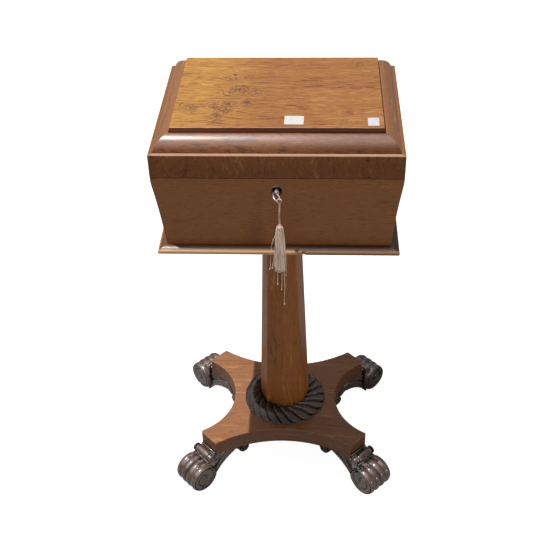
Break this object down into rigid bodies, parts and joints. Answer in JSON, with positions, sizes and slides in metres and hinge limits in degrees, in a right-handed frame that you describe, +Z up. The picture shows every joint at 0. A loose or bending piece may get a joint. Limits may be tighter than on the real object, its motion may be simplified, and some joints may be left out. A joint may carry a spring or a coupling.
{
  "type": "teapoy",
  "caption": "Rosewood teapoy: a locking sarcophagus-shaped tea chest with a hinged moulded lid, on a tapering octagonal pillar with a twisted collar, concave platform and scroll feet.",
  "frame": {"origin": "on the floor under the middle of the pillar", "axes": "+Z up; the front with the keyhole faces -Y; +X is to the right of someone who looks at the front"},
  "size_m": [0.4358, 0.3788, 0.818],
  "materials": {
    "rosewood_top": "french polished rosewood, golden brown figured veneer",
    "rosewood_dark": "french polished dark rosewood",
    "rosewood_carved": "carved rosewood, nearly black",
    "secondary_wood": "plain planed mahogany and pine",
    "brass": "old lacquered brass",
    "steel": "worn polished steel",
    "clear_glass": "clear cut glass",
    "silk": "faded cream silk"
  },
  "bodies": {
    "stand_and_case": {"case_front": "rosewood_dark", "case_back": "rosewood_dark", "case_left": "rosewood_dark", "case_right": "rosewood_dark", "case_floor": "secondary_wood", "base_board": "secondary_wood", "base_moulding_front": "rosewood_dark", "base_moulding_back": "rosewood_dark", "base_moulding_left": "rosewood_dark", "base_moulding_right": "rosewood_dark", "partition_left": "rosewood_dark", "partition_right": "rosewood_dark", "cross_partition": "rosewood_dark", "bowl_deck_left": "rosewood_dark", "bowl_deck_right": "rosewood_dark", "lock_plate": "brass", "lock_case": "brass", "escutcheon": "brass", "hinge_leaf_case_left": "brass", "hinge_leaf_case_right": "brass", "bearer": "secondary_wood", "column": "rosewood_dark", "rope_collar": "rosewood_carved", "platform": "rosewood_dark", "foot_tenons": "secondary_wood", "scroll_foot_front_left": "rosewood_carved", "scroll_foot_front_right": "rosewood_carved", "scroll_foot_back_left": "rosewood_carved", "scroll_foot_back_right": "rosewood_carved"},
    "lid": {"lid_panel": "rosewood_top", "lid_ground": "secondary_wood", "cushion_front": "rosewood_dark", "cushion_back": "rosewood_dark", "cushion_left": "rosewood_dark", "cushion_right": "rosewood_dark", "lid_front": "rosewood_dark", "lid_back": "rosewood_dark", "lid_left": "rosewood_dark", "lid_right": "rosewood_dark", "link_plate": "brass", "hinge_leaf_lid_left": "brass", "hinge_leaf_lid_right": "brass"},
    "key": {"key": "steel"},
    "lock_bolt": {"lock_bolt": "steel"},
    "tassel_hanger": {"tassel_loop": "silk"},
    "tassel": {"tassel_cord": "silk", "tassel": "silk"},
    "caddy_front": {"caddy_front": "rosewood_dark"},
    "caddy_back": {"caddy_back": "rosewood_dark"},
    "caddy_lid_front": {"caddy_lid_front": "rosewood_dark", "caddy_knob_front": "rosewood_carved"},
    "caddy_lid_back": {"caddy_lid_back": "rosewood_dark", "caddy_knob_back": "rosewood_carved"},
    "mixing_bowl_left": {"mixing_bowl_left": "clear_glass"},
    "mixing_bowl_right": {"mixing_bowl_right": "clear_glass"}
  },
  "joints": [
    {"name": "lid_hinge", "type": "hinge", "parent": "stand_and_case", "child": "lid", "pos_m": [0, 0.16, 0.7455], "axis": [-1, 0, 0], "range_deg": [0, 95]},
    {"name": "key_turn", "type": "hinge", "parent": "stand_and_case", "child": "key", "pos_m": [0, -0.155, 0.721], "axis": [0, 1, 0], "range_deg": [0, 90]},
    {"name": "lock_bolt_slide", "type": "slide", "parent": "stand_and_case", "child": "lock_bolt", "axis": [1, 0, 0], "range_m": [0, 0.006]},
    {"name": "tassel_upright", "type": "hinge", "parent": "key", "child": "tassel_hanger", "pos_m": [0.0046, -0.176, 0.7164], "axis": [0, 1, 0], "range_deg": [-90, 0]},
    {"name": "tassel_swing", "type": "hinge", "parent": "tassel_hanger", "child": "tassel", "pos_m": [0.0046, -0.176, 0.7075], "axis": [-1, 0, 0], "range_deg": [-4, 60]},
    {"name": "caddy_front_lift", "type": "slide", "parent": "stand_and_case", "child": "caddy_front", "axis": [0, 0, 1], "range_m": [0, 0.05]},
    {"name": "caddy_back_lift", "type": "slide", "parent": "stand_and_case", "child": "caddy_back", "axis": [0, 0, 1], "range_m": [0, 0.05]},
    {"name": "caddy_lid_front_lift", "type": "slide", "parent": "caddy_front", "child": "caddy_lid_front", "axis": [0, 0, 1], "range_m": [0, 0.05]},
    {"name": "caddy_lid_back_lift", "type": "slide", "parent": "caddy_back", "child": "caddy_lid_back", "axis": [0, 0, 1], "range_m": [0, 0.05]},
    {"name": "mixing_bowl_left_lift", "type": "slide", "parent": "stand_and_case", "child": "mixing_bowl_left", "axis": [0, 0, 1], "range_m": [0, 0.07]},
    {"name": "mixing_bowl_right_lift", "type": "slide", "parent": "stand_and_case", "child": "mixing_bowl_right", "axis": [0, 0, 1], "range_m": [0, 0.07]}
  ],
  "couplings": [
    {"joint": "lock_bolt_slide", "follows": "key_turn", "m_per_rad": 0.0038197},
    {"joint": "tassel_upright", "follows": "key_turn", "ratio": -1}
  ]
}
